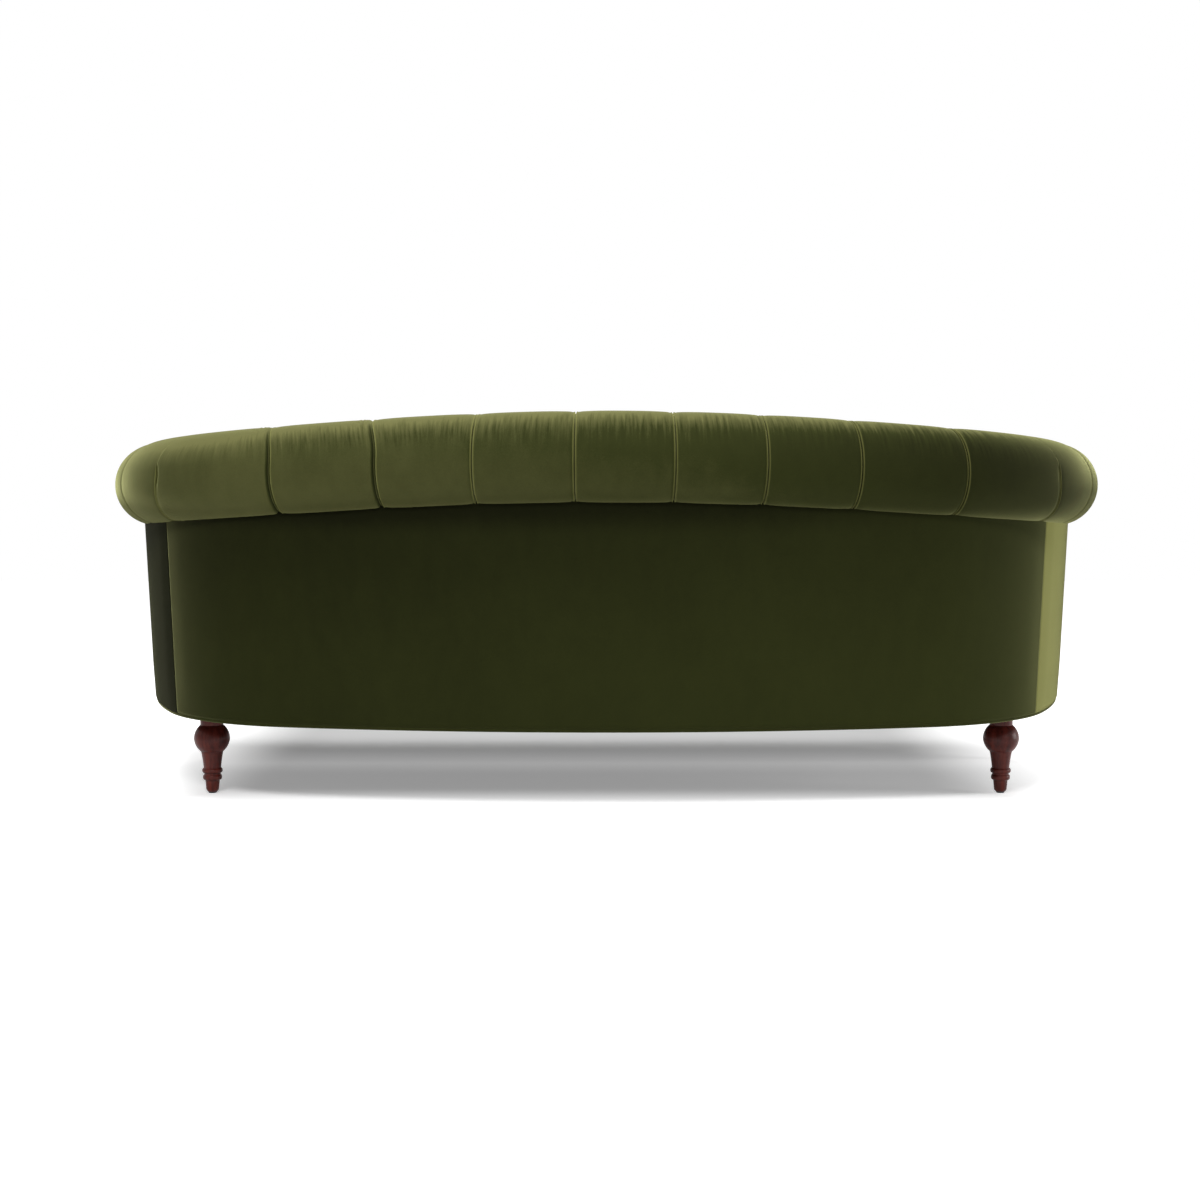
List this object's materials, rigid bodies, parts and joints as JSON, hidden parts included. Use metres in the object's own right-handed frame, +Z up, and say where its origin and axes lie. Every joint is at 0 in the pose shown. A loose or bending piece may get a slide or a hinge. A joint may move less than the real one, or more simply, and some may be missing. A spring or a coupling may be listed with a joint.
{
  "type": "chesterfield sofa",
  "caption": "Sofa with a curved back that runs into rolled, pleated arms, with buttoned inside pads, loose seat cushions and turned wooden legs.",
  "frame": {"origin": "on the floor, at the middle of the footprint", "axes": "+X to the right as seen from the front, across the width; the seat faces -Y and the back is towards +Y; +Z up"},
  "size_m": [2.1965, 0.9449, 0.7819],
  "materials": {
    "velvet": "olive green cotton velvet, short pile with a soft sheen",
    "cushion_velvet": "the same olive green velvet over foam and a soft wrap",
    "buttons": "velvet-covered buttons",
    "piping": "velvet-covered cord",
    "webbing": "woven jute webbing",
    "burlap": "plain woven burlap",
    "deck_cloth": "felt pad under a plain cotton cover",
    "dust_cover": "black non-woven cloth",
    "frame_wood": "sawn hardwood, unfinished",
    "leg_wood": "dark mahogany stain under satin lacquer",
    "glide": "black moulded plastic",
    "steel": "zinc plated"
  },
  "bodies": {
    "sofa_frame": {"back_buttons": "buttons", "back_liner": "burlap", "back_posts": "frame_wood", "back_roll": "velvet", "back_top_rail": "frame_wood", "base_piping": "piping", "block_dowels": "frame_wood", "corner_blocks": "frame_wood", "dust_cover": "dust_cover", "front_base_rail": "frame_wood", "front_border": "velvet", "front_left_glide": "glide", "front_left_leg": "leg_wood", "front_right_glide": "glide", "front_right_leg": "leg_wood", "inside_back_pad": "velvet", "left_arm_buttons": "buttons", "left_arm_facing": "velvet", "left_arm_front_board": "frame_wood", "left_arm_liner": "burlap", "left_arm_posts": "frame_wood", "left_arm_roll": "velvet", "left_arm_top_rail": "frame_wood", "left_base_rail": "frame_wood", "left_inside_arm_pad": "velvet", "left_outside_arm_panel": "velvet", "leg_bolts": "steel", "outside_back_panel": "velvet", "rear_base_rail": "frame_wood", "rear_left_glide": "glide", "rear_left_leg": "leg_wood", "rear_right_glide": "glide", "rear_right_leg": "leg_wood", "right_arm_buttons": "buttons", "right_arm_facing": "velvet", "right_arm_front_board": "frame_wood", "right_arm_liner": "burlap", "right_arm_posts": "frame_wood", "right_arm_roll": "velvet", "right_arm_top_rail": "frame_wood", "right_base_rail": "frame_wood", "right_inside_arm_pad": "velvet", "right_outside_arm_panel": "velvet", "seat_deck_pad": "deck_cloth", "seat_stretchers": "frame_wood", "seat_webbing_crosswise": "webbing", "seat_webbing_lengthwise": "webbing", "tee_nuts": "steel"},
    "left_cushion": {"left_seat_cushion": "cushion_velvet"},
    "centre_cushion": {"centre_seat_cushion": "cushion_velvet"},
    "right_cushion": {"right_seat_cushion": "cushion_velvet"}
  },
  "joints": [
    {"name": "left_cushion_lift", "type": "slide", "parent": "sofa_frame", "child": "left_cushion", "axis": [0, 0, 1], "range_m": [0, 0.4]},
    {"name": "centre_cushion_lift", "type": "slide", "parent": "sofa_frame", "child": "centre_cushion", "axis": [0, 0, 1], "range_m": [0, 0.4]},
    {"name": "right_cushion_lift", "type": "slide", "parent": "sofa_frame", "child": "right_cushion", "axis": [0, 0, 1], "range_m": [0, 0.4]}
  ]
}
